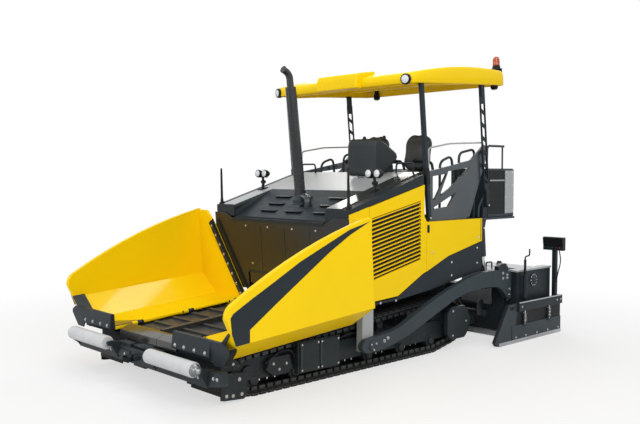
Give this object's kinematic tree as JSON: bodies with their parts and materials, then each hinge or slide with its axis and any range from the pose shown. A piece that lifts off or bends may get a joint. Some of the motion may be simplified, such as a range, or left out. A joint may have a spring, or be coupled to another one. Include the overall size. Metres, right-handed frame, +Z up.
{
  "type": "tracked asphalt paver",
  "caption": "Tracked asphalt paver with folding hopper wings, swinging push rollers, slat conveyors, spinning augers, folding canopy and a lifting, extending screed.",
  "frame": {"origin": "middle of the machine's overall length and width, on the ground under the tracks", "axes": "+X forward to the push rollers, +Y to the machine's left, +Z up"},
  "size_m": [6.198, 3.26, 3.9137],
  "materials": {
    "yellow_paint": "gloss",
    "anthracite_paint": "satin",
    "slate_paint": "satin",
    "light_grey_paint": "satin",
    "black_paint": "matte",
    "cast_steel": "rough",
    "track_rubber": "matte",
    "roller_steel": "brushed",
    "chrome_rod": "polished",
    "console_plastic": "textured",
    "seat_vinyl": "grained",
    "lamp_lens": "clear",
    "beacon_amber": "clear"
  },
  "bodies": {
    "machine": {"chassis_frame": "anthracite_paint", "track_left": "track_rubber", "track_right": "track_rubber", "track_frame_left": "anthracite_paint", "track_frame_right": "anthracite_paint", "track_deflectors": "anthracite_paint", "tow_guides": "light_grey_paint", "conveyors": "cast_steel", "hopper_apron": "anthracite_paint", "hopper_wall": "anthracite_paint", "engine": "cast_steel", "tank": "anthracite_paint", "hood": "light_grey_paint", "hood_strips": "anthracite_paint", "side_panels": "yellow_paint", "lower_panels": "anthracite_paint", "exhaust": "black_paint", "hood_lamps": "black_paint", "corner_posts": "black_paint", "platform": "slate_paint", "railings": "anthracite_paint", "handrails": "slate_paint", "cabinets": "slate_paint", "seats": "seat_vinyl"},
    "wing_left": {"wing_left": "yellow_paint", "wing_plate_left": "anthracite_paint"},
    "wing_right": {"wing_right": "yellow_paint", "wing_plate_right": "anthracite_paint"},
    "push_beam": {"push_beam": "anthracite_paint"},
    "push_roller_left": {"push_roller_left": "roller_steel"},
    "push_roller_right": {"push_roller_right": "roller_steel"},
    "door_left": {"door_left": "yellow_paint"},
    "door_right": {"door_right": "yellow_paint"},
    "console": {"console": "console_plastic"},
    "canopy_front_posts": {"canopy_front_posts": "anthracite_paint"},
    "canopy_rear_posts": {"canopy_rear_posts": "anthracite_paint"},
    "canopy": {"canopy_frame": "anthracite_paint", "canopy_roof": "yellow_paint", "canopy_lamps": "lamp_lens", "beacon": "beacon_amber"},
    "screed": {"tow_arms": "slate_paint", "screed_main": "anthracite_paint", "screed_covers": "light_grey_paint"},
    "extension_left": {"screed_extension_left": "anthracite_paint", "end_plate_left": "anthracite_paint"},
    "extension_right": {"screed_extension_right": "anthracite_paint", "end_plate_right": "anthracite_paint"},
    "auger_left": {"auger_left": "cast_steel"},
    "auger_right": {"auger_right": "cast_steel"},
    "lift_barrel_left": {"lift_barrel_left": "slate_paint"},
    "lift_barrel_right": {"lift_barrel_right": "slate_paint"},
    "lift_rod_left": {"lift_rod_left": "chrome_rod"},
    "lift_rod_right": {"lift_rod_right": "chrome_rod"}
  },
  "joints": [
    {"name": "wing_left_fold", "type": "hinge", "parent": "machine", "child": "wing_left", "pos_m": [0.901, 0.6, 0.69], "axis": [0.9972, 0, -0.075], "range_deg": [0, 42]},
    {"name": "wing_right_fold", "type": "hinge", "parent": "machine", "child": "wing_right", "pos_m": [0.901, -0.6, 0.69], "axis": [-0.9972, 0, 0.075], "range_deg": [0, 42]},
    {"name": "push_beam_swing", "type": "hinge", "parent": "machine", "child": "push_beam", "pos_m": [2.821, 0, 0.32], "axis": [0, 0, 1], "range_deg": [-5, 5]},
    {"name": "push_roller_left_spin", "type": "hinge", "parent": "push_beam", "child": "push_roller_left", "pos_m": [3.023, 0.84, 0.424], "axis": [0, 1, 0], "continuous": true},
    {"name": "push_roller_right_spin", "type": "hinge", "parent": "push_beam", "child": "push_roller_right", "pos_m": [3.023, -0.84, 0.424], "axis": [0, 1, 0], "continuous": true},
    {"name": "door_left_swing", "type": "hinge", "parent": "machine", "child": "door_left", "pos_m": [0.604, 1.263, 1.3], "axis": [0, 0, -1], "range_deg": [0, 85]},
    {"name": "door_right_swing", "type": "hinge", "parent": "machine", "child": "door_right", "pos_m": [0.604, -1.263, 1.3], "axis": [0, 0, 1], "range_deg": [0, 85]},
    {"name": "console_shift", "type": "slide", "parent": "machine", "child": "console", "axis": [0, -1, 0], "range_m": [0, 0.77]},
    {"name": "canopy_fold", "type": "hinge", "parent": "machine", "child": "canopy_front_posts", "pos_m": [-0.489, 0, 1.735], "axis": [0, -1, 0], "range_deg": [0, 50]},
    {"name": "canopy_rear_fold", "type": "hinge", "parent": "machine", "child": "canopy_rear_posts", "pos_m": [-1.729, 0, 1.86], "axis": [0, -1, 0], "range_deg": [0, 50]},
    {"name": "canopy_level", "type": "hinge", "parent": "canopy_front_posts", "child": "canopy", "pos_m": [-0.32214, 0, 3.40669], "axis": [0, 1, 0], "range_deg": [0, 50]},
    {"name": "screed_lift", "type": "hinge", "parent": "machine", "child": "screed", "pos_m": [0.654, 0, 0.32], "axis": [0, 1, 0], "range_deg": [0, 7]},
    {"name": "extension_left_slide", "type": "slide", "parent": "screed", "child": "extension_left", "axis": [0, 1, 0], "range_m": [0, 1.1]},
    {"name": "extension_right_slide", "type": "slide", "parent": "screed", "child": "extension_right", "axis": [0, -1, 0], "range_m": [0, 1.1]},
    {"name": "auger_left_spin", "type": "hinge", "parent": "machine", "child": "auger_left", "pos_m": [-1.809, 0.6, 0.37], "axis": [0, 1, 0], "continuous": true},
    {"name": "auger_right_spin", "type": "hinge", "parent": "machine", "child": "auger_right", "pos_m": [-1.809, -0.6, 0.37], "axis": [0, 1, 0], "continuous": true},
    {"name": "lift_barrel_left_tilt", "type": "hinge", "parent": "machine", "child": "lift_barrel_left", "pos_m": [-1.784, 1.1, 1.59], "axis": [0, -1, 0], "range_deg": [0, 6]},
    {"name": "lift_rod_left_slide", "type": "slide", "parent": "lift_barrel_left", "child": "lift_rod_left", "axis": [0.0884, 0, 0.9961], "range_m": [0, 0.32]},
    {"name": "lift_barrel_right_tilt", "type": "hinge", "parent": "machine", "child": "lift_barrel_right", "pos_m": [-1.784, -1.1, 1.59], "axis": [0, -1, 0], "range_deg": [0, 6]},
    {"name": "lift_rod_right_slide", "type": "slide", "parent": "lift_barrel_right", "child": "lift_rod_right", "axis": [0.0884, 0, 0.9961], "range_m": [0, 0.32]}
  ],
  "couplings": [
    {"joint": "canopy_rear_fold", "follows": "canopy_fold", "ratio": 1},
    {"joint": "canopy_level", "follows": "canopy_fold", "ratio": 1},
    {"joint": "lift_barrel_left_tilt", "follows": "screed_lift", "ratio": 0.65702},
    {"joint": "lift_rod_left_slide", "follows": "screed_lift", "m_per_rad": 2.5079},
    {"joint": "lift_barrel_right_tilt", "follows": "screed_lift", "ratio": 0.65702},
    {"joint": "lift_rod_right_slide", "follows": "screed_lift", "m_per_rad": 2.5079}
  ]
}
